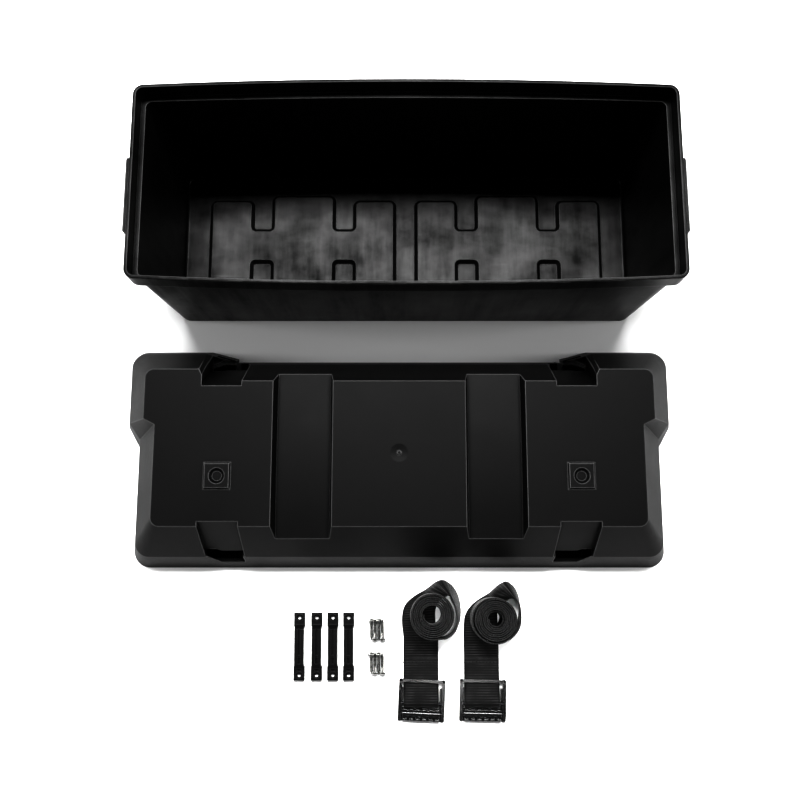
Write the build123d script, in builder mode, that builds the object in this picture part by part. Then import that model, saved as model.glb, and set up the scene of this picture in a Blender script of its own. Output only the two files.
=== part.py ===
from build123d import *
import math
import os

# A box kit for two deep cycle batteries, laid out on a flat surface: tub, lid, four strap
# brackets, two groups of wood screws and two rolled hold-down straps with cam buckles.
# Millimetres. The origin is the centre of the tub's underside, +X along the tub, +Z up.

os.makedirs("parts", exist_ok=True)

# ---- Tub -------------------------------------------------------------------------------
tub_height = 212.0
rim_half_length, rim_half_width, rim_radius = 288.7, 106.7, 11.0
rim_bow = 6.4  # how far the long sides of the rim swell outwards
collar_height, collar_wall = 25.0, 3.5
top_half_length, top_half_width = 284.0, 102.1  # outside of the wall under the collar
top_bow = 4.5
base_half_length, base_half_width, base_radius = 277.2, 95.2, 14.0
tub_wall, floor_thickness, foot_height = 4.0, 4.0, 1.5
pad_height, pad_inner_x, pad_outer_x, pad_half_width = 4.5, 15.6, 240.3, 56.6
tongue_half_width = 63.0
notch_xs, notch_width, notch_inner_y = (76.2, 178.0), 30.0, 29.3
foot_x, foot_length, foot_width, foot_y = 129.0, 84.0, 12.0, 88.0
runner_size = (16.0, 150.0)  # the runner across the middle of the underside
grip_half_width, grip_reach, grip_top, grip_drop = 42.0, 305.0, 172.0, 34.0
grip_sheet = 3.2

# ---- Lid -------------------------------------------------------------------------------
lid_x, lid_y, lid_height, lid_wall = -7.5, -271.0, 100.0, 3.0
skirt_height = 42.0
channel_depth, channel_crown = 22.5, 2.5
channel_top, channel_floor = (73.8, 140.6), (77.5, 137.2)
exit_inner, exit_outer = 176.0, 220.5  # the cable exits' extent along the lid
exit_top, exit_lip = 75.3, 105.0  # the exit pocket's floor, at the lid's top and at its lip
exit_sill, exit_head, shelf_edge = 20.0, 42.0, 98.0
boss_x, boss_y, boss_side, boss_height, boss_hole = 200.0, -25.6, 31.0, 3.0, 8.8
gate_diameter = 20.0

# ---- Strap brackets and screws ---------------------------------------------------------
bracket_length, bracket_width, bracket_bridge_width = 76.2, 12.3, 10.6
bracket_pad_length, bracket_pad_height, bracket_height = 15.6, 5.2, 8.8
bracket_gap = 5.0  # webbing passes under the bridge
hole_spacing, hole_diameter, sink_diameter = 65.0, 4.4, 6.8
bracket_y = -484.9
bracket_xs = (-123.4, -103.3, -84.5, -66.2)
bracket_turns = (0.4, 0.4, 0.4, 0.4)
screw_length, screw_major, screw_core, screw_pitch = 25.4, 4.0, 2.8, 1.8
screw_rest = 19.5  # from the head to the last full thread, which lies on the table
head_diameter, head_height = 7.9, 2.8
screw_xs = (-39.9, -35.6, -31.3, -27.0)
screw_rows = {"screws_upper": -466.3, "screws_lower": -504.4}

# ---- Straps ----------------------------------------------------------------------------
webbing_width, webbing_sheet = 40.2, 1.6
lift = 0.3  # a lying strap's clearance over the surface
buckle_length, buckle_width, rail_width, rail_height = 46.4, 52.8, 3.6, 9.0
buckle_y = -545.2
bar_y, bar_z, bar_radius, loop_radius = -3.5, 4.9, 1.9, 3.0
pin_y, pin_z, pin_radius = -14.6, 6.0, 1.5
cam_half_width, cam_barrel = 21.6, 3.2
tooth_pitch, tooth_count = 7.4, 6
spring_wire, spring_radius, spring_turns = 0.7, 2.05, 5
stitch_y = -502.0  # where the sewn tail of the webbing ends
roll_radius, roll_eye, roll_base = 25.3, 9.3, 2.6
straps = {
    "left": dict(x=17.6, buckle_x=18.1, turn=-2.6, roll=(30.5, -449.2)),
    "right": dict(x=88.1, buckle_x=88.3, turn=-1.4, roll=(102.0, -453.6)),
}


def rounded_rectangle(a, b, radius, bow=0.0):
    """A rectangle 2a by 2b with round corners, its long sides swelling by bow."""
    k = radius * (1 - math.sqrt(0.5))
    with BuildSketch() as sketch:
        with BuildLine():
            for s in (1, -1):
                if bow:
                    ThreePointArc((s * (a - radius), s * b), (0, s * (b + bow)),
                                  (-s * (a - radius), s * b))
                else:
                    Line((s * (a - radius), s * b), (-s * (a - radius), s * b))
                ThreePointArc((-s * (a - radius), s * b), (-s * (a - k), s * (b - k)),
                              (-s * a, s * (b - radius)))
                Line((-s * a, s * (b - radius)), (-s * a, -s * (b - radius)))
                ThreePointArc((-s * a, -s * (b - radius)), (-s * (a - k), -s * (b - k)),
                              (-s * (a - radius), -s * b))
        make_face()
    return sketch.sketch


def tub_body():
    collar_base = tub_height - collar_height
    with BuildPart() as body:
        # outer wall, straight at the base and bowed under the collar
        with BuildSketch(Plane.XY.offset(foot_height)):
            add(rounded_rectangle(base_half_length, base_half_width, base_radius))
        with BuildSketch(Plane.XY.offset(collar_base)):
            add(rounded_rectangle(top_half_length, top_half_width, rim_radius, top_bow))
        loft(ruled=True)
        fillet(body.faces().sort_by(Axis.Z)[0].edges(), 3.0)
        with BuildSketch(Plane.XY.offset(collar_base)):
            add(rounded_rectangle(rim_half_length, rim_half_width, rim_radius, rim_bow))
        extrude(amount=collar_height)
        fillet(body.faces().sort_by(Axis.Z)[-1].edges(), 1.2)
    return body.part


def tub_cavity():
    ledge = tub_height - collar_height + collar_wall
    floor = foot_height + floor_thickness
    with BuildPart() as cavity:
        with BuildSketch(Plane.XY.offset(floor)):
            add(rounded_rectangle(base_half_length - tub_wall, base_half_width - tub_wall,
                                  base_radius - tub_wall))
        with BuildSketch(Plane.XY.offset(ledge)):
            add(rounded_rectangle(top_half_length - tub_wall, top_half_width - tub_wall,
                                  rim_radius - tub_wall, top_bow))
        loft(ruled=True)
        fillet(cavity.faces().sort_by(Axis.Z)[0].edges(), 3.0)
        with BuildSketch(Plane.XY.offset(ledge)):
            add(rounded_rectangle(rim_half_length - collar_wall, rim_half_width - collar_wall,
                                  rim_radius - collar_wall, rim_bow))
        extrude(amount=collar_height)
    return cavity.part


def floor_pad():
    """One battery's raised floor, with a pair of notches on each long side."""
    sunk = 1.0
    slope = pad_height + sunk  # the 45 degree sides run out by their own height
    length, middle = pad_outer_x - pad_inner_x, (pad_outer_x + pad_inner_x) / 2
    tongue_x = (notch_xs[1] + notch_xs[0]) / 2
    tongue_length = notch_xs[1] - notch_xs[0] - notch_width
    with BuildPart() as pad:
        with BuildSketch(Plane.XY.offset(foot_height + floor_thickness - sunk)) as outline:
            with Locations((middle, 0)):
                Rectangle(length + 2 * slope, 2 * (pad_half_width + slope))
            with Locations((tongue_x, 0)):
                Rectangle(tongue_length + 2 * slope, 2 * (tongue_half_width + slope))
            with Locations(*[(x, y) for x in notch_xs for y in (notch_inner_y + 50,
                                                                -notch_inner_y - 50)]):
                Rectangle(notch_width - 2 * slope, 100 + 2 * slope, mode=Mode.SUBTRACT)
            fillet(outline.vertices().filter_by(lambda v: abs(v.Y) > pad_half_width),
                   slope + 4.5)
            fillet(outline.vertices().filter_by(lambda v: abs(v.Y) < notch_inner_y), 1.5)
        extrude(amount=slope, taper=45)
    return pad.part


def end_grip():
    """The hood over the fingers at one end: a top plate, a hanging lip and two cheeks."""
    with BuildPart() as grip:
        with BuildSketch(Plane.XZ.offset(-grip_half_width)):
            with BuildLine():
                Polyline((top_half_length - 2.5, grip_top), (grip_reach - 2, grip_top),
                         (grip_reach, grip_top - 3), (grip_reach, grip_top - grip_drop),
                         (top_half_length - 3.6, grip_top - grip_drop), close=True)
            make_face()
        extrude(amount=2 * grip_half_width)
        with BuildSketch(Plane.XY.offset(grip_top - grip_drop)):
            with Locations(((top_half_length + grip_reach) / 2 - 5, 0)):
                Rectangle(grip_reach - top_half_length + 10 - 2 * grip_sheet,
                          2 * (grip_half_width - grip_sheet))
        extrude(amount=grip_drop - grip_sheet, mode=Mode.SUBTRACT)
        fillet(grip.edges().filter_by(Axis.Z).sort_by(Axis.X)[-2:], 3.0)
    return grip.part


with BuildPart() as tub:
    add(tub_body())
    for s in (1, -1):
        with Locations(Rotation(0, 0, 0 if s == 1 else 180)):
            add(end_grip())
    with Locations(*[(x, y, 0) for x in (foot_x, -foot_x) for y in (foot_y, -foot_y)]):
        Box(foot_length, foot_width, foot_height + 1.0,
            align=(Align.CENTER, Align.CENTER, Align.MIN))
    Box(*runner_size, foot_height + 1.0, align=(Align.CENTER, Align.CENTER, Align.MIN))
    add(tub_cavity(), mode=Mode.SUBTRACT)
    # the floor rises over each battery's pad and is hollow beneath it
    for s in (1, -1):
        with Locations(Rotation(0, 0, 0 if s == 1 else 180)):
            add(floor_pad())
        with Locations(Location((0, 0, -floor_thickness), (0, 0, 0 if s == 1 else 180))):
            add(floor_pad(), mode=Mode.SUBTRACT)

# ---- Lid -------------------------------------------------------------------------------
# Each level of the lid's outline: half length at the widened back corners and at the front,
# half depth at the middle and at the back corners, corner radius, and where the end step and
# the back step run.
lid_levels = {
    0.0: dict(back=326.8, front=313.6, depth=123.9, corner=136.4, radius=20.0,
              end_step=(42.8, 19.6), back_step=(229.0, 197.0), lip=128.0),
    skirt_height: dict(back=315.2, front=302.0, depth=112.3, corner=124.8, radius=17.0,
                       end_step=(41.5, 22.5), back_step=(228.0, 200.0), lip=116.6),
    lid_height: dict(back=284.0, front=271.2, depth=80.9, corner=94.4, radius=10.0,
                     end_step=(38.0, 31.5), back_step=(224.0, 219.0), lip=84.0),
}


def lid_outline(level, inset=0.0):
    """The lid's plan at one level, drawn inset by a wall's thickness."""
    c = lid_levels[level]
    back, front = c["back"] - inset, c["front"] - inset
    depth, corner, lip = c["depth"] - inset, c["corner"] - inset, c["lip"] - inset
    y1, y2 = c["end_step"][0] - 0.4 * inset, c["end_step"][1] - 0.4 * inset
    x1, x2 = c["back_step"][0] + 0.3 * inset, c["back_step"][1] + 0.3 * inset
    half = [(x2 - 7, depth), (x2, lip), (x1, corner), (back, corner), (back, y1),
            (front, y2), (front, -depth)]
    with BuildSketch() as sketch:
        with BuildLine():
            Polyline(*half, *[(-x, y) for x, y in reversed(half)], close=True)
        make_face()
        corners = sketch.vertices().filter_by(
            lambda v: abs(abs(v.X) - back) < 0.01 and v.Y > y1 + 1
            or abs(abs(v.X) - front) < 0.01 and v.Y < y2 - 1)
        fillet(corners, c["radius"] - inset)
    return sketch.sketch


def lid_shell(inset=0.0):
    """The lid's skirt and its sloping upper part as one solid."""
    levels = sorted(lid_levels)
    heights = {0.0: -1.0 if inset else 0.0, skirt_height: skirt_height - 0.4 * inset,
               lid_height: lid_height - inset}
    with BuildPart() as shell:
        for low, high in zip(levels, levels[1:]):
            with BuildSketch(Plane.XY.offset(heights[low])):
                add(lid_outline(low, inset))
            with BuildSketch(Plane.XY.offset(heights[high])):
                add(lid_outline(high, inset))
            loft(ruled=True)
    return shell.part


def strap_channel(wall=0.0):
    """What one strap channel takes out of the lid, grown by a wall's thickness."""
    floor = lid_height - channel_depth - wall
    reach = 130.0
    with BuildPart() as channel:
        with BuildSketch(Plane.XZ.offset(-reach)):
            with BuildLine():
                Polyline((channel_top[0] - wall, lid_height + 1),
                         (channel_floor[0] - wall, floor - 1),
                         (channel_floor[1] + wall, floor - 1),
                         (channel_top[1] + wall, lid_height + 1), close=True)
            make_face()
        extrude(amount=2 * reach)
        with BuildSketch(Plane.YZ.offset(60)):
            with BuildLine():
                ThreePointArc((-reach, floor - channel_crown), (0, floor + channel_crown),
                              (reach, floor - channel_crown))
                Polyline((reach, floor - channel_crown), (reach, lid_height + 2),
                         (-reach, lid_height + 2), (-reach, floor - channel_crown))
            make_face()
        extrude(amount=100, mode=Mode.INTERSECT)
    return channel.part


def cable_exit(side, wall=0.0):
    """The pocket over one cable exit; side is 1 at the back of the lid and -1 at the front."""
    far = 150.0
    with BuildPart() as pocket:
        with BuildSketch(Plane.YZ.offset(exit_inner - wall)):
            with BuildLine():
                Polyline((side * (exit_top - wall - 0.5), lid_height + 1),
                         (side * (exit_lip - wall), exit_head - wall),
                         (side * far, exit_head - wall), (side * far, lid_height + 1),
                         close=True)
            make_face()
        extrude(amount=exit_outer - exit_inner + 2 * wall)
    return pocket.part


def both_sides(solid):
    """The solid and its mirror image across the lid's middle."""
    return [solid, mirror(solid, about=Plane.YZ, mode=Mode.PRIVATE)]


def lid_solid():
    with BuildPart() as lid_part:
        add(lid_shell())
        for solid in both_sides(strap_channel()):
            add(solid, mode=Mode.SUBTRACT)
        for side in (1, -1):
            for solid in both_sides(cable_exit(side)):
                add(solid, mode=Mode.SUBTRACT)
    return lid_part.part


def lid_inside():
    with BuildPart() as inside:
        add(lid_shell(lid_wall))
        for solid in both_sides(strap_channel(lid_wall)):
            add(solid, mode=Mode.SUBTRACT)
        for side in (1, -1):
            for solid in both_sides(cable_exit(side, lid_wall)):
                add(solid, mode=Mode.SUBTRACT)
    return inside.part


def exit_window(side):
    """The hole below one cable exit's lip that the cables leave through."""
    with BuildPart() as window:
        with BuildSketch(Plane.XY.offset(exit_sill)):
            with BuildLine():
                Polyline((exit_inner + 2, side * exit_lip), (203.5, side * exit_lip),
                         (exit_outer, side * (exit_lip - 6)), (exit_outer, side * 110.5),
                         (206.0, side * 117.2), (exit_inner + 2, side * 117.2), close=True)
            make_face()
        extrude(amount=exit_head - exit_sill + 3)
        if side == 1:
            with Locations(((exit_inner + exit_outer) / 2, 118, exit_sill)):
                Box(exit_outer - exit_inner - 4, 40, exit_head - exit_sill - lid_wall,
                    align=(Align.CENTER, Align.CENTER, Align.MIN))
    return window.part


def rim_shelf(side):
    """The ledge under one cable exit, which rests on the tub's rim."""
    with BuildPart() as shelf:
        with BuildSketch(Plane.XY.offset(exit_sill - lid_wall)):
            with BuildLine():
                Polyline((exit_inner - 3, side * shelf_edge),
                         (exit_outer + 3, side * shelf_edge), (exit_outer + 3, side * 112),
                         (exit_outer - 12, side * 117), (exit_inner - 3, side * 117),
                         close=True)
            make_face()
        extrude(amount=lid_wall)
    return shelf.part


with BuildPart() as lid:
    with Locations((lid_x, lid_y, 0)):
        add(lid_solid())
        add(lid_inside(), mode=Mode.SUBTRACT)
        for side in (1, -1):
            for window in both_sides(exit_window(side)):
                add(window, mode=Mode.SUBTRACT)
            for shelf in both_sides(rim_shelf(side)):
                add(shelf)
    # the slots that let a cable slide in behind the widened back corners
    with Locations(*[(lid_x + s * 193.6, lid_y + 120, 0) for s in (1, -1)]):
        Box(6, 40, 45, align=(Align.CENTER, Align.CENTER, Align.CENTER), mode=Mode.SUBTRACT)
    # square bosses with sloping sides and a countersunk recess
    with BuildSketch(Plane.XY.offset(lid_height - 1)):
        with Locations(*[(lid_x + s * boss_x, lid_y + boss_y) for s in (1, -1)]):
            Rectangle(boss_side, boss_side)
    extrude(amount=boss_height + 1, taper=28)
    with Locations(*[(lid_x + s * boss_x, lid_y + boss_y, lid_height + boss_height)
                     for s in (1, -1)]):
        Cone(boss_hole - 3.4, boss_hole, 3.4, align=(Align.CENTER, Align.CENTER, Align.MAX),
             mode=Mode.SUBTRACT)
    # the gate mark: a shallow dish with the trimmed sprue standing in it
    with Locations((lid_x, lid_y, lid_height + 62.0)):
        Sphere(62.8, mode=Mode.SUBTRACT)
    with Locations((lid_x, lid_y, lid_height - 1.5)):
        Cone(3.0, 2.2, 2.3, align=(Align.CENTER, Align.CENTER, Align.MIN))


def placed(solid, x, y, turn):
    """The solid turned about Z and moved across the surface."""
    with BuildPart() as part:
        with Locations(Location((x, y, 0), (0, 0, turn))):
            add(solid)
    return part


def strap_bracket():
    """A footman loop lying on its feet, its length along Y."""
    half, bridge = bracket_length / 2, bracket_length / 2 - bracket_pad_length
    with BuildPart() as bracket:
        with Locations((0, half - bracket_pad_length / 2, 0),
                       (0, -half + bracket_pad_length / 2, 0)):
            Box(bracket_width, bracket_pad_length, bracket_pad_height,
                align=(Align.CENTER, Align.CENTER, Align.MIN))
        # the raised bridge, its underside clear of the webbing
        with BuildSketch(Plane.YZ.offset(-bracket_bridge_width / 2)):
            with BuildLine():
                Polyline((-bridge - 2, 0), (-bridge - 2, bracket_pad_height),
                         (-bridge + 3, bracket_height), (bridge - 3, bracket_height),
                         (bridge + 2, bracket_pad_height), (bridge + 2, 0),
                         (bridge - 1.5, 0), (bridge - 2.5, bracket_gap),
                         (-bridge + 2.5, bracket_gap), (-bridge + 1.5, 0), close=True)
            make_face()
        extrude(amount=bracket_bridge_width)
        # the web between the two ribs
        with Locations((0, 0, bracket_height)):
            Box(3.2, 2 * bridge - 6, 5.0, mode=Mode.SUBTRACT)
        # a nub left by the mould, and the raised ring around each hole
        with Locations((0, -bridge / 2, bracket_gap + 1)):
            Cylinder(1.8, 2.2, align=(Align.CENTER, Align.CENTER, Align.MIN))
        with Locations(*[(0, s * hole_spacing / 2, 0) for s in (1, -1)]):
            Cylinder(4.8, bracket_pad_height + 0.6,
                     align=(Align.CENTER, Align.CENTER, Align.MIN))
        with Locations(*[(0, s * hole_spacing / 2, bracket_pad_height + 0.6)
                         for s in (1, -1)]):
            CounterSinkHole(radius=hole_diameter / 2, counter_sink_radius=sink_diameter / 2,
                            depth=20)
        # the triangular sink above the lower hole
        with BuildSketch(Plane.XY.offset(bracket_pad_height)):
            with BuildLine():
                Polyline((-3.4, -bridge - 3), (3.4, -bridge - 3), (0, -bridge - 6.2),
                         close=True)
            make_face()
        extrude(amount=-1.2, mode=Mode.SUBTRACT)
    return bracket.part


brackets = {}
for number, (x, turn) in enumerate(zip(bracket_xs, bracket_turns), 1):
    brackets[f"bracket_{number}"] = placed(strap_bracket(), x, bracket_y, turn)


def wood_screw():
    """A pan-head wood screw along +Z, its head's bearing face at the origin."""
    shank = 6.0
    turns = int((screw_length - shank - 5.0) / screw_pitch)
    with BuildPart() as screw:
        with BuildSketch(Plane.XZ):
            with BuildLine():
                Polyline((0, -head_height), (head_diameter / 2 - 1.6, -head_height),
                         (head_diameter / 2 - 0.3, -head_height + 1.0),
                         (head_diameter / 2, -0.4), (head_diameter / 2, 0),
                         (screw_major / 2 - 0.15, 0), (screw_major / 2 - 0.15, shank))
                z = shank
                for n in range(turns):
                    Polyline((screw_major / 2 - 0.15 if n == 0 else screw_core / 2, z),
                             (screw_core / 2, z + 0.3 if n == 0 else z + 0.01),
                             (screw_major / 2, z + screw_pitch * 0.55),
                             (screw_core / 2, z + screw_pitch))
                    z += screw_pitch
                Polyline((screw_core / 2, z), (0, screw_length - head_height), (0, -head_height))
            make_face()
        revolve(axis=Axis.Z)
        # the cross recess
        with BuildSketch(Plane.XY.offset(-head_height)):
            Rectangle(4.4, 1.0)
            Rectangle(1.0, 4.4)
        extrude(amount=1.6, taper=12, mode=Mode.SUBTRACT)
    return screw.part


def screw_group(y):
    """Four screws side by side, heads alternately up and down, each on its head and threads."""
    screw = wood_screw()
    tilt = math.atan((head_diameter - screw_major) / 2 / screw_rest)
    with BuildPart() as group:
        for n, x in enumerate(screw_xs):
            s = 1 if n % 2 == 0 else -1
            head = Plane(origin=(x, y + s * (screw_length / 2 - head_height),
                                 head_diameter / 2 * math.cos(tilt) + 0.03),
                         x_dir=(1, 0, 0), z_dir=(0, -s * math.cos(tilt), -math.sin(tilt)))
            with Locations(head):
                add(screw)
    return group


screws = {name: screw_group(y) for name, y in screw_rows.items()}


# ---- Straps ----------------------------------------------------------------------------
# A buckle is drawn about its own middle: x across it, y towards the roll, z up.
def buckle_frame():
    half, length = buckle_width / 2, buckle_length / 2
    with BuildPart() as part:
        with BuildSketch(Plane.YZ.offset(-half)):
            with BuildLine():
                Polyline((-length, 0), (length, 0), (length, 6.0), (length - 3, rail_height),
                         (-length + 9, rail_height), (-length, 3.4), close=True)
            make_face()
        extrude(amount=buckle_width)
        Box(buckle_width - 2 * rail_width, buckle_length + 1, 30, mode=Mode.SUBTRACT)
        # the plate under the cam, the bar over the webbing and a lug inside each rail
        with Locations((0, -length + 7.2, 0)):
            Box(buckle_width - 2 * rail_width + 1, 14.4, 1.0,
                align=(Align.CENTER, Align.CENTER, Align.MIN))
        with Locations((0, length - 1.7, 7.3)):
            Box(buckle_width - 2 * rail_width + 1, 3.2, 2.2)
        for s, lug in ((1, 2.4), (-1, 1.4)):
            with Locations((s * (half - rail_width + 0.2 - lug / 2), 2.9, 0)):
                Box(lug + 0.4, 22, rail_height - 4, align=(Align.CENTER, Align.CENTER, Align.MIN))
        fillet(part.edges().filter_by(Axis.Z).group_by(Axis.X)[0], 1.2)
        fillet(part.edges().filter_by(Axis.Z).group_by(Axis.X)[-1], 1.2)
        for y, z, r in ((bar_y, bar_z, bar_radius), (pin_y, pin_z, pin_radius)):
            with Locations(Plane(origin=(0, y, z), z_dir=(1, 0, 0))):
                Cylinder(r, buckle_width - 2.4, mode=Mode.SUBTRACT)
    return part.part


def cross_pin(y, z, radius):
    """A round bar across the buckle, held blind in both rails."""
    with BuildPart() as part:
        with Locations(Plane(origin=(0, y, z), z_dir=(1, 0, 0))):
            Cylinder(radius, buckle_width - 2.4)
        chamfer(part.edges().filter_by(GeomType.CIRCLE), 0.3)
    return part.part


def buckle_cam():
    """The toothed lever: barrel, jaw towards the webbing and thumb plate."""
    with BuildPart() as part:
        with BuildSketch(Plane.YZ.offset(-cam_half_width)):
            with Locations((pin_y, pin_z)):
                Circle(cam_barrel)
            with BuildLine():
                Polyline((pin_y, pin_z + 1.4), (pin_y + 3.8, pin_z + 1.0),
                         (pin_y + 4.9, pin_z - 0.6), (pin_y + 4.2, pin_z - 2.6),
                         (pin_y, pin_z - 2.4), close=True)
            make_face()
            with BuildLine():
                Polyline((pin_y, pin_z + 1.4), (pin_y - 7.9, pin_z + 0.8),
                         (pin_y - 8.4, pin_z - 0.8), (pin_y, pin_z - 1.8), close=True)
            make_face()
        extrude(amount=2 * cam_half_width)
        # rounded teeth on the jaw and matching ribs on the thumb plate
        first = -(tooth_count - 1) / 2 * tooth_pitch
        spots = [first + n * tooth_pitch for n in range(tooth_count)]
        for y, length in ((pin_y + 4.0, 3.4), (pin_y - 6.3, 4.4)):
            with Locations(*[(x, y, pin_z + 1.2) for x in spots]):
                Cylinder(1.3, length, rotation=(0, 90, 0))
        # the pin's bore and the slot that the spring sits in
        with Locations((0, pin_y, pin_z)):
            Cylinder(pin_radius + 0.2, 2 * cam_half_width + 1, rotation=(0, 90, 0),
                     mode=Mode.SUBTRACT)
        with Locations((0, pin_y, pin_z - 2.1)):
            Box(7.0, 6.4, 9.3, mode=Mode.SUBTRACT)
    return part.part


def cam_spring():
    """The coil of the torsion spring around the pin."""
    pitch = 1.0
    width = spring_turns * pitch
    with BuildPart() as part:
        with BuildLine() as coil:
            Helix(pitch, width, spring_radius, center=(-width / 2, pin_y, pin_z),
                  direction=(1, 0, 0))
        with BuildSketch(Plane(origin=coil.line @ 0, z_dir=coil.line % 0)):
            Circle(spring_wire / 2)
        sweep(is_frenet=True)
    return part.part


def webbing_run(strap):
    """The flat stretch: sewn loop round the bar, doubled tail, then one layer to the turn."""
    half, sheet = webbing_width / 2, webbing_sheet
    bar = buckle_y + bar_y
    outer, inner = loop_radius + sheet, loop_radius
    base = bar_z - outer
    end = strap["roll"][1] + 2.0
    with BuildPart() as part:
        with BuildSketch(Plane.YZ.offset(strap["x"] - half)):
            with BuildLine():
                Line((end, base), (bar, base))
                ThreePointArc((bar, base), (bar - outer, bar_z), (bar, bar_z + outer))
                Polyline((bar, bar_z + outer), (bar + 34, base + 2 * sheet + 0.2),
                         (stitch_y, base + 2 * sheet + 0.2), (stitch_y + 6, base + sheet),
                         (end, base + sheet), (end, base))
            make_face()
            with BuildLine():
                ThreePointArc((bar, bar_z - inner), (bar - inner, bar_z), (bar, bar_z + inner))
                Polyline((bar, bar_z + inner), (bar + 26, base + sheet + 0.6),
                         (bar + 26, base + sheet), (bar, base + sheet))
            make_face(mode=Mode.SUBTRACT)
        extrude(amount=webbing_width)
    return part


def webbing_turn(strap):
    """Where the webbing curls up on its edge and wraps the roll: a wedge beside the roll."""
    (rx, ry), left = strap["roll"], strap["x"] - webbing_width / 2
    right, clear = strap["x"] + webbing_width / 2, roll_radius + 1.2
    low = ry + 2.4
    with BuildPart() as part:
        with BuildSketch(Plane.XY.offset(lift)) as plan:
            with BuildLine():
                Polyline((right, low), (left, low), (left + 1.5, low + 7), (left + 5.5, low + 15))
                Line((left + 5.5, low + 15), (left + 36, low + 36.5))
                ThreePointArc((left + 36, low + 36.5), (left + 53, low + 33),
                              (left + 62.0, low + 17))
                Polyline((left + 62.0, low + 17), (rx + clear + 2.6, ry - 2), (rx, ry),
                         (right, low))
            make_face()
        extrude(amount=webbing_width)
        with Locations((rx, ry, 0)):
            Cylinder(clear, 2 * webbing_width, align=(Align.CENTER, Align.CENTER, Align.MIN),
                     mode=Mode.SUBTRACT)
        # the outermost wrap, standing clear of the roll
        with BuildSketch(Plane.XY.offset(roll_base)):
            with Locations((rx, ry)):
                Circle(clear + 2.8)
                Circle(clear + 1.0, mode=Mode.SUBTRACT)
                with Locations((-60, 0)):
                    Rectangle(120, 200, mode=Mode.SUBTRACT)
                with Locations((0, 60)):
                    Rectangle(200, 110, mode=Mode.SUBTRACT)
        extrude(amount=webbing_width)
    return part


def webbing_roll(strap):
    with BuildPart() as part:
        with Locations((*strap["roll"], roll_base)):
            Cylinder(roll_radius, webbing_width,
                     align=(Align.CENTER, Align.CENTER, Align.MIN))
            Cylinder(roll_eye, webbing_width, mode=Mode.SUBTRACT,
                     align=(Align.CENTER, Align.CENTER, Align.MIN))
    return part


strap_pieces = {}
for side, strap in straps.items():
    at = strap["buckle_x"], buckle_y, strap["turn"]
    strap_pieces[f"buckle_frame_{side}"] = placed(buckle_frame(), *at)
    strap_pieces[f"sew_bar_{side}"] = placed(cross_pin(bar_y, bar_z, bar_radius), *at)
    strap_pieces[f"cam_pin_{side}"] = placed(cross_pin(pin_y, pin_z, pin_radius), *at)
    strap_pieces[f"buckle_cam_{side}"] = placed(buckle_cam(), *at)
    strap_pieces[f"cam_spring_{side}"] = placed(cam_spring(), *at)
    strap_pieces[f"webbing_run_{side}"] = webbing_run(strap)
    strap_pieces[f"webbing_turn_{side}"] = webbing_turn(strap)
    strap_pieces[f"webbing_roll_{side}"] = webbing_roll(strap)

# ---- Labels and files ------------------------------------------------------------------
pieces = {"tub": tub, "lid": lid, **brackets, **screws, **strap_pieces}
for name, piece in pieces.items():
    piece.part.label = name
    export_step(piece.part, f"parts/{name}.step")
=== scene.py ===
import math

import bpy
import numpy as np
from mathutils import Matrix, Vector


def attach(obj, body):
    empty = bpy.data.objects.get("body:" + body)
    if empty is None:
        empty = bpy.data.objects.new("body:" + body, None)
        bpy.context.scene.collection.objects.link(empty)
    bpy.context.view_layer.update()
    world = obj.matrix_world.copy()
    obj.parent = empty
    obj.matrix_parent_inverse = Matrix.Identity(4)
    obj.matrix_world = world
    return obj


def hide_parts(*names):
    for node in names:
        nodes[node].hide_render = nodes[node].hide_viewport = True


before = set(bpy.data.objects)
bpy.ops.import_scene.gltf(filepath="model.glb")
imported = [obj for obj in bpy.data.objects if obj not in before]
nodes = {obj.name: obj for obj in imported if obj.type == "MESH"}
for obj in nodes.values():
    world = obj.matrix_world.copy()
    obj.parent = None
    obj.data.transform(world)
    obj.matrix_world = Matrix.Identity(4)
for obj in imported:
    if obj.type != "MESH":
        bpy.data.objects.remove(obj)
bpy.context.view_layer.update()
SIDES = ("left", "right")

# ---- Materials -----------------------------------------------------------------------------


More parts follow.
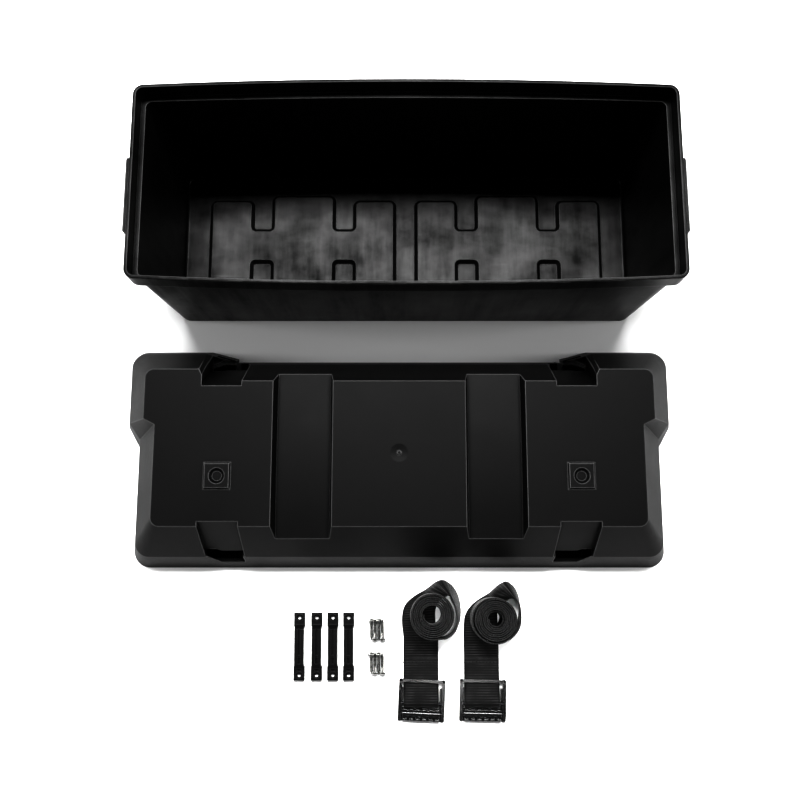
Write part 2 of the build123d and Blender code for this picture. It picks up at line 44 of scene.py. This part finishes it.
class Shader:
    """A new material whose nodes are added with short calls."""

    def __init__(self, name):
        self.material = bpy.data.materials.new(name)
        self.material.use_nodes = True
        self.tree = self.material.node_tree
        self.bsdf = self.tree.nodes["Principled BSDF"]

    def node(self, kind, **settings):
        made = self.tree.nodes.new(kind)
        for key, value in settings.items():
            if key in made.inputs:
                made.inputs[key].default_value = value
            else:
                setattr(made, key, value)
        return made

    def link(self, start, end):
        self.tree.links.new(start, end)

    def coordinates(self, scale=(1, 1, 1), turn=(0, 0, 0)):
        """Object coordinates in metres, stretched by scale."""
        where = self.node("ShaderNodeTexCoord")
        mapping = self.node("ShaderNodeMapping")
        mapping.inputs["Scale"].default_value = scale
        mapping.inputs["Rotation"].default_value = turn
        self.link(where.outputs["Object"], mapping.inputs["Vector"])
        return mapping.outputs["Vector"]

    def noise(self, vector, scale, detail=3.0, rough=0.5):
        made = self.node("ShaderNodeTexNoise", Scale=scale, Detail=detail, Roughness=rough)
        self.link(vector, made.inputs["Vector"])
        return made.outputs["Fac"]

    def ramp(self, factor, *stops):
        made = self.node("ShaderNodeValToRGB")
        elements = made.color_ramp.elements
        while len(elements) < len(stops):
            elements.new(0.5)
        for element, (position, value) in zip(elements, stops):
            element.position = position
            element.color = (*value, 1) if isinstance(value, tuple) else (value,) * 3 + (1,)
        self.link(factor, made.inputs["Fac"])
        return made.outputs["Color"]

    def math(self, operation, a, b=0.0):
        made = self.node("ShaderNodeMath", operation=operation)
        for socket, value in zip(made.inputs, (a, b)):
            if isinstance(value, (int, float)):
                socket.default_value = value
            else:
                self.link(value, socket)
        return made.outputs["Value"]

    def bump(self, height, distance, strength=1.0, normal=None):
        made = self.node("ShaderNodeBump", Strength=strength, Distance=distance)
        self.link(height, made.inputs["Height"])
        if normal is not None:
            self.link(normal, made.inputs["Normal"])
        return made.outputs["Normal"]

    def finish(self, **sockets):
        for key, value in sockets.items():
            socket = self.bsdf.inputs[key.replace("_", " ")]
            if isinstance(value, (int, float, tuple)):
                socket.default_value = value
            else:
                self.link(value, socket)
        return self.material


def moulded(name, grey, rough, gloss, grain_scale, grain, edge, edge_highlight_grey, streaks=0.0):
    """Black moulded polypropylene: fine grain, faint scuffs, a painted highlight on rounded edges
    and painted shade in hollows.
    """
    s = Shader(name)
    where = s.coordinates()
    fine = s.noise(where, grain_scale, 2.0, 0.6)
    blotch = s.noise(where, 14.0, 4.0, 0.6)
    scuffs = s.noise(s.coordinates((9, 260, 120), (0, 0, 0.5)), 3.0, 3.0, 0.55)
    worn = s.ramp(scuffs, (0.62, 0.0), (0.74, 1.0))
    soft = s.node("ShaderNodeBevel", samples=6, Radius=edge)
    flat = s.node("ShaderNodeNewGeometry")
    turn = s.node("ShaderNodeVectorMath", operation="DOT_PRODUCT")
    s.link(soft.outputs["Normal"], turn.inputs[0])
    s.link(flat.outputs["Normal"], turn.inputs[1])
    hollow = s.node("ShaderNodeAmbientOcclusion", samples=6, Distance=edge * 3.5)
    # painted highlight: open convex edges, where the bevelled normal turns away from the face,
    # get a paler colour
    painted_edge_highlight = s.math("MULTIPLY", s.ramp(turn.outputs["Value"], (0.90, 1.0), (0.995, 0.0)),
                       s.ramp(hollow.outputs["AO"], (0.62, 0.0), (0.82, 1.0)))
    shade = s.math("MULTIPLY", s.math("ADD", blotch, 0.5), grey)
    # painted shade: the colour darkens in hollows, creases and recesses, following the ambient
    # occlusion
    shade = s.math("MULTIPLY", shade, s.ramp(hollow.outputs["AO"], (0.35, 0.05), (0.85, 1.0)))
    shade = s.math("ADD", shade, s.math("MULTIPLY", painted_edge_highlight, edge_highlight_grey))
    shine = s.math("MULTIPLY", s.ramp(hollow.outputs["AO"], (0.4, 0.1), (0.9, 1.0)), gloss)
    if streaks:
        flow = s.noise(s.coordinates((70, 9, 3)), 1.3, 5.0, 0.65)
        patch = s.noise(s.coordinates((11, 14, 3)), 1.0, 5.0, 0.65)
        flow = s.math("ADD", s.math("MULTIPLY", flow, 0.3), s.math("MULTIPLY", patch, 0.75))
        sheen = s.ramp(flow, (0.38, 1.0 - streaks), (0.66, 1.0 + streaks))
        shine = s.math("MULTIPLY", shine, sheen)
    colour = s.node("ShaderNodeCombineColor")
    for channel in colour.inputs:
        s.link(shade, channel)
    roughness = s.math("ADD", s.math("MULTIPLY", blotch, 0.16), s.math("MULTIPLY", worn, -0.08))
    height = s.math("ADD", fine, s.math("MULTIPLY", worn, 0.15))
    return s.finish(Base_Color=colour.outputs["Color"], Specular_IOR_Level=shine,
                    Roughness=s.math("ADD", roughness, rough - 0.08),
                    Normal=s.bump(height, grain, 0.6, soft.outputs["Normal"]))


tub_plastic = moulded("tub_plastic", 0.003, 0.38, 0.12, 900.0, 0.00012, 0.0013, 0.09, 0.75)
lid_plastic = moulded("lid_plastic", 0.004, 0.46, 0.09, 1300.0, 0.00022, 0.0017, 0.14)
buckle_plastic = moulded("buckle_plastic", 0.006, 0.24, 0.6, 700.0, 0.00006, 0.0005, 0.12)
bracket_plastic = moulded("bracket_plastic", 0.004, 0.38, 0.2, 900.0, 0.00008, 0.0005, 0.05)


def steel(name, colour, rough):
    s = Shader(name)
    where = s.coordinates()
    mottle = s.noise(where, 400.0, 3.0)
    base = s.ramp(mottle, (0.3, tuple(c * 0.75 for c in colour)), (0.7, colour))
    return s.finish(Base_Color=base, Metallic=1.0,
                    Roughness=s.math("ADD", s.math("MULTIPLY", mottle, 0.2), rough - 0.1),
                    Normal=s.bump(mottle, 0.00004, 0.5))


zinc = steel("zinc", (0.36, 0.36, 0.35), 0.26)
spring_steel = steel("spring_steel", (0.03, 0.03, 0.032), 0.4)


def assign(name, material):
    data = nodes[name].data
    data.materials.clear()
    data.materials.append(material)


assign("tub", tub_plastic)
assign("lid", lid_plastic)
for n in range(1, 5):
    assign(f"bracket_{n}", bracket_plastic)
for name in ("screws_upper", "screws_lower"):
    assign(name, zinc)
for side in SIDES:
    assign(f"buckle_frame_{side}", buckle_plastic)
    assign(f"buckle_cam_{side}", buckle_plastic)
    for name in ("sew_bar", "cam_pin", "cam_spring"):
        assign(f"{name}_{side}", spring_steel)

# ---- Webbing -----------------------------------------------------------------------------
# A strap is one flat ribbon. Each station gives its left and its right edge in millimetres.
# The stations were placed one by one and the pitch of the turns was chosen for the look.
WIDTH, SHEET, LIE = 40.2, 1.6, 1.1  # webbing width, thickness and the height of a lying layer
RIB = 2.9  # pitch of the transverse ribs
TURN_PITCH, PER_TURN = 2.2, 30  # distance between the turns of a roll, and stations in one turn
ROLL_LOW = 1.9  # height of a roll's lower edge
TAIL_END, BAR, BAR_Z, LOOP = -498.5, -548.7, 4.9, 3.8  # sewn tail and the bar it goes round

STRAPS = {
    "left": dict(
        x=17.6, roll=(30.3, -448.8), outer=(26.7, 24.0), settle=(0.0, 0.4), eye=9.4, sink=0.0,
        turn=[(-3.6, -466, 1.1, 35.6, -466, 1.1), (-4.3, -455, 1.1, 34.6, -453, 1.1),
              (-3.5, -446, 1.1, 35.0, -443, 1.1), (-0.5, -438, 1.3, 38.2, -435, 1.1),
              (5, -432, 1.6, 43, -429.5, 1.6), (12, -427, 1.9, 47.8, -426.3, 7),
              (20, -422.4, 2.1, 49.6, -426.8, 17), (28.5, -416.8, 2.1, 50.8, -427.8, 27),
              (36.5, -411.3, 2, 52, -429, 33.3), (43, -409.4, 1.7, 53, -430.2, 35.4),
              (51.5, -413.5, 1.4, 53.4, -433, 36.6), (58.5, -421.5, 1.2, 55.4, -438, 37.6),
              (63, -434, 1.1, 56.8, -445.5, 38.8), (64, -447.5, 1.1, 57.8, -453, 39.4),
              (62, -458.5, 1.1, 56.6, -461, 39.7), (56, -467, 1.1, 52.6, -467.6, 39.8),
              (47, -473.5, 1.1, 45, -473.4, 39.9)]),
    "right": dict(
        x=87.7, roll=(101.8, -453.2), outer=(26.6, 23.4), settle=(0.26, 0.6), eye=6.6, sink=12.0,
        turn=[(67.7, -468, 1.1, 107.3, -468, 1.1), (68.2, -458, 1.1, 107.2, -456, 1.1),
              (69.3, -450.5, 1.1, 107.6, -446, 1.1), (72.8, -443.5, 1.3, 110.8, -438.5, 1.1),
              (78, -437.5, 1.6, 115.6, -433.2, 1.6), (85, -432.3, 1.9, 119.8, -429.6, 7),
              (93.5, -427.1, 2.1, 122, -429.6, 17), (102, -421, 2.1, 123, -430.4, 27),
              (110.5, -414.3, 2, 124.6, -430.8, 33), (117.3, -411.3, 1.7, 125.8, -431.8, 35),
              (124.5, -415, 1.4, 127.2, -434.2, 36.2), (130.2, -423, 1.2, 129.4, -440, 37.4),
              (132.6, -434, 1.1, 130, -447, 38.6), (132.6, -446, 1.1, 130, -454, 39.3),
              (130.3, -457.5, 1.1, 127.8, -461.5, 39.6), (126, -466.5, 1.1, 124, -468, 39.8),
              (118, -474, 1.1, 116.8, -474.6, 39.9)]),
}


def strap_stations(strap):
    """Edge pairs from the sewn tail, round the bar, along the floor, up and into the roll."""
    half, x = WIDTH / 2, strap["x"]
    side = [(TAIL_END, 2.75), (TAIL_END - 6, 2.8), (BAR + 34, 2.95), (BAR + 18, 5.6),
            (BAR + 8, 7.7), (BAR + 2, BAR_Z + LOOP)]
    side += [(BAR - LOOP * math.sin(a), BAR_Z + LOOP * math.cos(a))
             for a in np.radians(range(0, 181, 30))]
    side += [(BAR + 6, LIE), (BAR + 14, LIE)]
    side += [(y, LIE) for y in np.arange(BAR + 24, strap["turn"][0][1] - 8, 10)]
    rows = [(x - half, y, z, x + half, y, z) for y, z in side]
    rows += strap["turn"]
    (cx, cy), (first, second), (start, end) = strap["roll"], strap["outer"], strap["settle"]
    jog = np.random.default_rng(4).uniform(-0.55, 0.55, 12)
    radius, turned = first, 0.0
    while radius > strap["eye"] + 0.8:
        if turned < 1:
            ease = min(1.0, max(0.0, (turned - start) / (end - start)))
            radius = first + (second - first) * ease * ease * (3 - 2 * ease)
        else:
            radius = second - TURN_PITCH * (turned - 1)
        a = math.radians(-80 - 360 * turned)
        drop = strap["sink"] * max(0.0, (12.5 - radius) / 8.0)
        wrap = turned - 0.5
        low = ROLL_LOW
        if wrap >= 0:
            low += np.interp(wrap % 1, (0.8, 1), jog[[int(wrap), int(wrap) + 1]])
        r = radius + 0.15 * math.sin(a * 0.41)
        where = (cx + r * math.cos(a), cy + r * math.sin(a))
        rows.append((*where, max(low - drop, LIE), *where, low + WIDTH - 0.9 - drop))
        turned += 1 / PER_TURN
    return np.array(rows, float)


def resample(rows, fine, coarse, fine_until):
    """A Catmull-Rom curve through the rows, with steps of fine and then coarse millimetres."""
    middle = (rows[:, :3] + rows[:, 3:]) / 2
    chord = np.r_[0, np.cumsum(np.linalg.norm(np.diff(middle, axis=0), axis=1))]
    steps = list(np.arange(0, fine_until, fine)) + list(np.arange(fine_until, chord[-1], coarse))
    padded = np.vstack([2 * rows[0] - rows[1], rows, 2 * rows[-1] - rows[-2]])
    knots = np.r_[2 * chord[0] - chord[1], chord, 2 * chord[-1] - chord[-2]]
    made = []
    for s in steps:
        i = min(np.searchsorted(chord, s, side="right"), len(chord) - 1)
        t0, t1, t2, t3 = knots[i - 1:i + 3]
        p0, p1, p2, p3 = padded[i - 1:i + 3]
        span = t2 - t1
        m1 = ((p2 - p1) / (t2 - t1) - (p2 - p0) / (t2 - t0) + (p1 - p0) / (t1 - t0)) * span
        m2 = ((p3 - p2) / (t3 - t2) - (p3 - p1) / (t3 - t1) + (p2 - p1) / (t2 - t1)) * span
        u = (s - t1) / span
        made.append((2 * u ** 3 - 3 * u ** 2 + 1) * p1 + (u ** 3 - 2 * u ** 2 + u) * m1
                    + (-2 * u ** 3 + 3 * u ** 2) * p2 + (u ** 3 - u ** 2) * m2)
    return np.array(steps), np.array(made)


def ribbon(name, steps, rows, across=14):
    """A closed ribbed ribbon between the left and right edges, bowed where they come close."""
    left, right = rows[:, :3], rows[:, 3:]
    middle = (left + right) / 2
    along = np.gradient(middle, axis=0)
    wide = right - left
    chord = np.linalg.norm(wide, axis=1, keepdims=True)
    normal = np.cross(wide, along)
    normal /= np.linalg.norm(normal, axis=1, keepdims=True)
    slack = np.clip(WIDTH - 1.2 - chord, 0, None)
    sag = np.sqrt(3 * chord * slack / 8)
    q = np.linspace(0, 1, across)
    rib = 0.16 * (0.5 + 0.5 * np.cos(2 * np.pi * steps / RIB))
    centre = left[:, None] + wide[:, None] * q[None, :, None]
    bow = sag[:, None] * (4 * q * (1 - q))[None, :, None]
    centre = centre + normal[:, None] * bow
    centre[:, :, 2] = np.maximum(centre[:, :, 2], LIE - 0.1)
    thick = SHEET / 2 * (1 - 0.35 * (2 * np.abs(q - 0.5)) ** 12)
    offset = (thick[None, :] + rib[:, None] - 0.05)[:, :, None] * normal[:, None]
    upper, lower = centre + offset, centre - offset
    ring = np.concatenate([upper, lower[:, ::-1]], axis=1)
    count, size = ring.shape[:2]
    faces = []
    for i in range(count - 1):
        for j in range(size):
            k = (j + 1) % size
            faces.append((i * size + j, i * size + k, (i + 1) * size + k, (i + 1) * size + j))
    faces.append(tuple(range(size - 1, -1, -1)))
    faces.append(tuple((count - 1) * size + j for j in range(size)))
    mesh = bpy.data.meshes.new(name)
    mesh.from_pydata((ring.reshape(-1, 3) * 0.001).tolist(), [], faces)
    mesh.polygons.foreach_set("use_smooth", [True] * len(mesh.polygons))
    uv = mesh.uv_layers.new(name="UVMap")
    us = np.concatenate([q, q[::-1]]) * WIDTH * 0.001
    vs = steps * 0.001
    index = np.zeros(len(mesh.loops), np.int32)
    mesh.loops.foreach_get("vertex_index", index)
    values = np.stack([us[index % size], vs[index // size]], axis=1).astype(np.float32)
    uv.data.foreach_set("uv", values.ravel())
    item = bpy.data.objects.new(name, mesh)
    bpy.context.scene.collection.objects.link(item)
    return item


def tube(points, radius, sides=8):
    """Vertices and faces of a closed tube along the points, in millimetres."""
    points = np.array(points, float)
    along = np.gradient(points, axis=0)
    along /= np.linalg.norm(along, axis=1, keepdims=True)
    up = np.array([0.0, 0.0, 1.0])
    verts, faces = [], []
    for n, (p, t) in enumerate(zip(points, along)):
        a = np.cross(t, up)
        a = a / np.linalg.norm(a) if np.linalg.norm(a) > 1e-6 else np.array([1.0, 0, 0])
        b = np.cross(t, a)
        r = radius * (0.55 if n in (0, len(points) - 1) else 1.0)
        for k in range(sides):
            w = 2 * math.pi * k / sides
            verts.append(p + r * (a * math.cos(w) + b * math.sin(w)))
    for i in range(len(points) - 1):
        for k in range(sides):
            m = (k + 1) % sides
            faces.append((i * sides + k, i * sides + m, (i + 1) * sides + m, (i + 1) * sides + k))
    faces.append(tuple(range(sides - 1, -1, -1)))
    faces.append(tuple((len(points) - 1) * sides + k for k in range(sides)))
    return verts, faces


def joined(name, parts, material):
    """One object from several (vertices, faces) lists in millimetres."""
    verts, faces = [], []
    for v, f in parts:
        faces += [tuple(i + len(verts) for i in face) for face in f]
        verts += [tuple(0.001 * c for c in p) for p in v]
    mesh = bpy.data.meshes.new(name)
    mesh.from_pydata(verts, [], faces)
    mesh.polygons.foreach_set("use_smooth", [True] * len(mesh.polygons))
    mesh.materials.append(material)
    item = bpy.data.objects.new(name, mesh)
    bpy.context.scene.collection.objects.link(item)
    return item


def webbing_material():
    s = Shader("webbing")
    uv = s.node("ShaderNodeUVMap")
    parts = s.node("ShaderNodeSeparateXYZ")
    s.link(uv.outputs["UV"], parts.inputs["Vector"])
    u, v = parts.outputs["X"], parts.outputs["Y"]
    rib = s.math("SINE", s.math("MULTIPLY", v, 2 * math.pi / (RIB * 0.001)))
    warp = s.math("SINE", s.math("MULTIPLY", u, 2 * math.pi / 0.00165))
    stagger = s.math("ADD", s.math("MULTIPLY", v, 2 * math.pi / 0.00155),
                     s.math("MULTIPLY", u, 2 * math.pi / 0.0033))
    thread = s.math("MULTIPLY", warp, s.math("SINE", stagger))
    fuzz = s.noise(s.coordinates(), 2600.0, 2.0)
    height = s.math("ADD", s.math("MULTIPLY", thread, 0.45), s.math("MULTIPLY", fuzz, 0.6))
    height = s.math("ADD", height, s.math("MULTIPLY", rib, 0.25))
    crest_highlight_patches = s.noise(s.coordinates((1, 1, 0.2)), 60.0, 3.0)
    specks = s.noise(s.coordinates((1, 1, 0.1)), 520.0, 1.0)
    # the selvedges and the crests of the ribs catch more light than the valleys between
    selvedge = s.math("GREATER_THAN", s.math("ABSOLUTE", s.math("SUBTRACT", u, WIDTH / 2000)),
                      WIDTH / 2000 - 0.0004)
    # painted highlight on the rib crests, stronger and weaker in patches along the strap
    crest = s.math("MULTIPLY", s.math("ADD", rib, 1.0), s.math("MULTIPLY", crest_highlight_patches, 0.5))
    edge = s.math("MULTIPLY", selvedge, s.math("MULTIPLY", specks, 1.1))
    tone = s.math("MAXIMUM", crest, edge)
    colour = s.ramp(tone, (0.18, 0.003), (0.42, 0.012), (0.62, 0.034))
    return s.finish(Base_Color=colour, Roughness=0.6, Sheen_Weight=0.12, Sheen_Roughness=0.4,
                    Specular_IOR_Level=0.16, Normal=s.bump(height, 0.00022, 0.8))


def thread_material():
    s = Shader("sewing_thread")
    twist = s.node("ShaderNodeTexWave", Scale=900.0, Distortion=0.5)
    s.link(s.coordinates((1, 0.4, 0)), twist.inputs["Vector"])
    colour = s.ramp(twist.outputs["Fac"], (0.2, (0.006,) * 3), (0.8, (0.03,) * 3))
    return s.finish(Base_Color=colour, Roughness=0.5,
                    Normal=s.bump(twist.outputs["Fac"], 0.0001, 0.6))


webbing_cloth, sewing_thread = webbing_material(), thread_material()
for side, strap in STRAPS.items():
    stations = strap_stations(strap)
    steps, rows = resample(stations, 0.52, 1.1, 260.0)
    webbing = ribbon(f"webbing_{side}", steps, rows)
    webbing.data.materials.append(webbing_cloth)
    body = f"strap_body_{side}"
    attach(webbing, body)
    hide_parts(f"webbing_run_{side}", f"webbing_turn_{side}", f"webbing_roll_{side}")
    # a row of lock stitches across the sewn tail, with a loose end of thread
    y, x = TAIL_END - 4.2, strap["x"]
    dashes = []
    for n in range(9):
        start = x - 17.6 + 4.0 * n
        dashes.append(tube([(start, y, 3.55), (start + 0.5, y, 3.85), (start + 1.6, y, 3.95),
                            (start + 2.7, y, 3.85), (start + 3.2, y, 3.55)], 0.33))
    edge = x - WIDTH / 2
    loose = 4.2 if side == "left" else 3.2
    dashes.append(tube([(edge + 1.6, y, 3.6), (edge + 0.4, y - 0.1, 3.9),
                        (edge - loose * 0.4, y - 0.3, 3.2), (edge - loose * 0.8, y - 1.1, 2.3),
                        (edge - loose, y - 2.0, 1.9)], 0.28))
    stitches = joined(f"stitching_{side}", dashes, sewing_thread)
    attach(stitches, body)

# ---- Floor, light and camera -----------------------------------------------------------
floor_mesh = bpy.data.meshes.new("floor")
reach = 6.0
floor_mesh.from_pydata([(-reach, -reach, 0), (reach, -reach, 0), (reach, reach, 0),
                        (-reach, reach, 0)], [], [(0, 1, 2, 3)])
floor = bpy.data.objects.new("floor", floor_mesh)
bpy.context.scene.collection.objects.link(floor)
s = Shader("white_table")
floor_mesh.materials.append(s.finish(Base_Color=(0.9, 0.9, 0.9, 1), Roughness=0.6))

world = bpy.data.worlds.new("studio")
bpy.context.scene.world = world
world.use_nodes = True
sky = world.node_tree
direction = sky.nodes.new("ShaderNodeTexCoord")
height = sky.nodes.new("ShaderNodeSeparateXYZ")
glow = sky.nodes.new("ShaderNodeValToRGB")
behind = sky.nodes.new("ShaderNodeValToRGB")
sky.links.new(direction.outputs["Generated"], height.inputs["Vector"])
sky.links.new(height.outputs["Z"], glow.inputs["Fac"])
sky.links.new(height.outputs["Y"], behind.inputs["Fac"])
behind.color_ramp.elements[0].color = (1.1, 1.1, 1.1, 1)
behind.color_ramp.elements[1].color = (0.1, 0.1, 0.1, 1)
behind.color_ramp.elements[1].position = 0.8
sky.links.new(glow.outputs["Color"], sky.nodes["Background"].inputs["Color"])
sky.links.new(behind.outputs["Color"], sky.nodes["Background"].inputs["Strength"])
stops = ((0.0, 0.9), (0.35, 0.8), (0.75, 0.3), (1.0, 0.1))
while len(glow.color_ramp.elements) < len(stops):
    glow.color_ramp.elements.new(0.5)
for element, (position, value) in zip(glow.color_ramp.elements, stops):
    element.position, element.color = position, (value, value, value, 1)


def area_light(name, position, target, size, power):
    lamp = bpy.data.lights.new(name, "AREA")
    lamp.shape = "RECTANGLE"
    lamp.size, lamp.size_y = size
    lamp.energy = power
    item = bpy.data.objects.new(name, lamp)
    bpy.context.scene.collection.objects.link(item)
    item.location = position
    aim = Vector(target) - Vector(position)
    item.rotation_euler = aim.to_track_quat("-Z", "Y").to_euler()


area_light("key", (0.0, 0.70, 2.4), (0.0, -0.25, 0.0), (1.7, 0.45), 190)
for side in (-1, 1):
    area_light("fill", (2.2 * side, -0.16, 0.95), (0.0, -0.16, 0.0), (0.5, 0.5), 24)
# A narrow lamp on the straps and a low gamma, both chosen for contrast.
beam = bpy.data.lights.new("beam", "SPOT")
beam.energy, beam.spot_size = 130, math.radians(3.7)
beam.spot_blend, beam.shadow_soft_size = 0.25, 0.03
lamp = bpy.data.objects.new("beam", beam)
bpy.context.scene.collection.objects.link(lamp)
lamp.location = (0.035, -0.47, 2.4)
aim = Vector((0.062, -0.478, 0)) - lamp.location
lamp.rotation_euler = aim.to_track_quat("-Z", "Y").to_euler()
look = bpy.context.scene.view_settings
look.view_transform, look.gamma = "Standard", 0.62

camera = bpy.data.cameras.new("camera")
camera.lens, camera.sensor_width = 42.73, 36.0
camera.clip_start = 0.01
viewer = bpy.data.objects.new("camera", camera)
bpy.context.scene.collection.objects.link(viewer)
viewer.location = (-0.0066, -0.4018, 1.1388)
viewer.rotation_euler = (math.radians(10.35), 0, 0)
bpy.context.scene.camera = viewer
